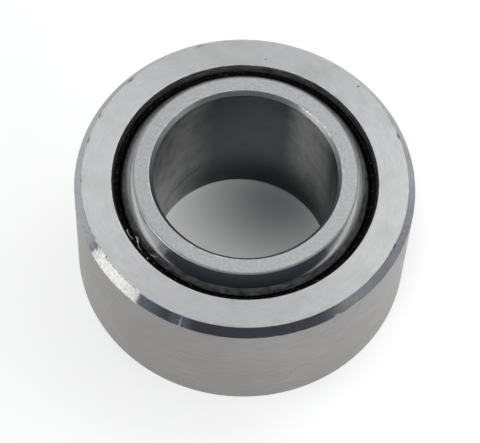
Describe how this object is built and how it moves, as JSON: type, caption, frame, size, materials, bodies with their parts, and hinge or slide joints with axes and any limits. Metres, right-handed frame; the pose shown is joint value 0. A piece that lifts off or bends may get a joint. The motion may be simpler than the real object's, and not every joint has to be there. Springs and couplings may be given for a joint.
{
  "type": "spherical plain bearing",
  "caption": "Wide lined spherical plain bearing: a bored steel ball swivels in a solid chamfered steel race on a bonded woven liner.",
  "frame": {"origin": "centre of the ball, which is also the centre of the race", "axes": "+Z along the bore, +X along the axis of the modelled swivel, and the two ends are alike"},
  "size_m": [0.0412, 0.0412, 0.0222],
  "materials": {
    "race_steel": "heat-treated stainless steel, turned faces and ground outside diameter",
    "liner_fabric": "dark resin-bonded woven low-friction fabric",
    "ball_steel": "hardened bearing steel, polished sphere with fine-ground end faces and bore"
  },
  "bodies": {
    "race": {"outer_race": "race_steel", "liner": "liner_fabric"},
    "ball": {"ball": "ball_steel"}
  },
  "joints": [
    {"name": "ball_swivel", "type": "hinge", "parent": "race", "child": "ball", "pos_m": [0, 0, 0], "axis": [1, 0, 0], "range_deg": [-6, 6]}
  ]
}
